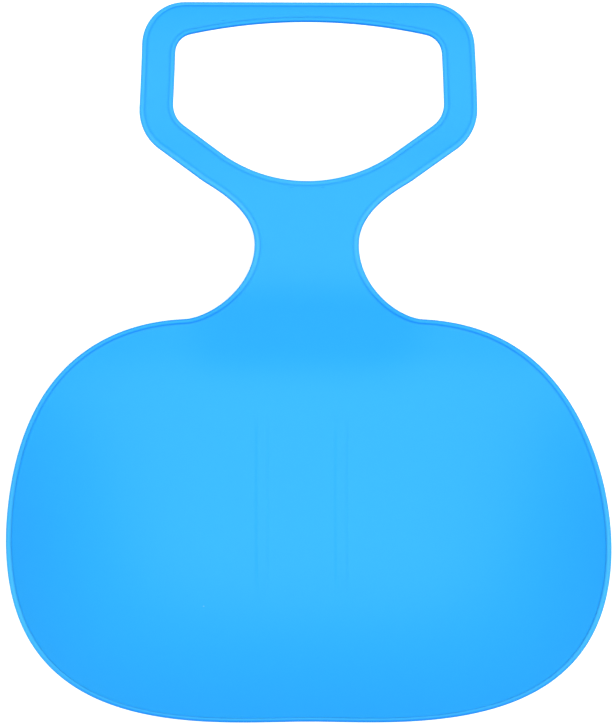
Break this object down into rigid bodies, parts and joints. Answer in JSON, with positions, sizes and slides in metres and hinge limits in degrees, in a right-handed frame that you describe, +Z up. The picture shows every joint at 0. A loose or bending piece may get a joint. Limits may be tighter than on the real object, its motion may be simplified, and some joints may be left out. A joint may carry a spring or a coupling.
{
  "type": "snow slider",
  "caption": "One-piece moulded snow slider: a dished seat pan with a beaded rim, a short rising neck, a handle loop with a hand hole, and low keels underneath.",
  "frame": {"origin": "under the middle of the plan's bounding box, on the plane that the keels' running faces stand on", "axes": "+Z up, +Y from the seat pan towards the handle loop, +X to the right when looking along +Y"},
  "size_m": [0.4028, 0.4776, 0.0763],
  "materials": {
    "seat_moulding": "smooth satin low-temperature polyethylene, self-coloured bright blue",
    "keels": "the same blue polyethylene, lightly scuffed on the running faces"
  },
  "bodies": {
    "root": {"seat_pan": "seat_moulding", "neck": "seat_moulding", "handle_loop": "seat_moulding", "keel_left": "keels", "keel_right": "keels"}
  },
  "joints": []
}
